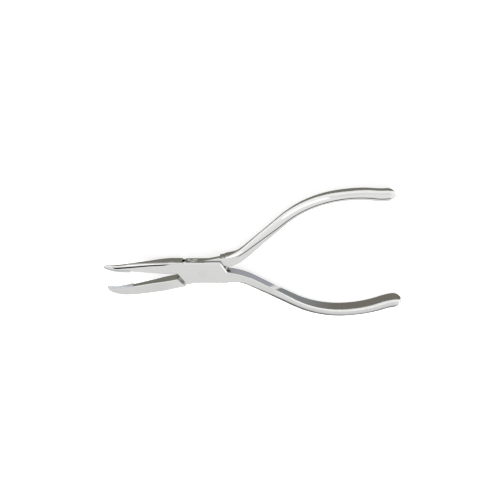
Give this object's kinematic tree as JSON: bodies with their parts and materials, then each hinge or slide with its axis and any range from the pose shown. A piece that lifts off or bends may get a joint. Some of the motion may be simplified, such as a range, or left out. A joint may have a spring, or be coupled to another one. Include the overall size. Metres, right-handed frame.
{
  "type": "orthodontic pliers",
  "caption": "Slim box-joint orthodontic pliers in polished steel, with fine tips bent slightly upwards and two bowed handles.",
  "frame": {"origin": "on the hinge axis, at the flat back face of the box, on which the pliers lie", "axes": "+Z along the hinge axis, from the back face to the front face of the box. +X from the hinge to the handles, along the box's long edges. +Y towards the upper jaw's side and the upper handle."},
  "size_m": [0.1428, 0.0678, 0.0082],
  "materials": {
    "polished_steel": "polished stainless steel with a fine satin grain",
    "pad_steel": "duller hardened steel",
    "rivet_steel": "ground flush with the box"
  },
  "bodies": {
    "box_body": {"box_lever": "polished_steel", "joint_rivet": "rivet_steel", "upper_pad": "pad_steel"},
    "key_body": {"key_lever": "polished_steel", "lower_pad": "pad_steel"}
  },
  "joints": [
    {"name": "joint_hinge", "type": "hinge", "parent": "box_body", "child": "key_body", "pos_m": [0, 0, 0.0027], "axis": [0, 0, 1], "range_deg": [-12.4, 10]}
  ]
}
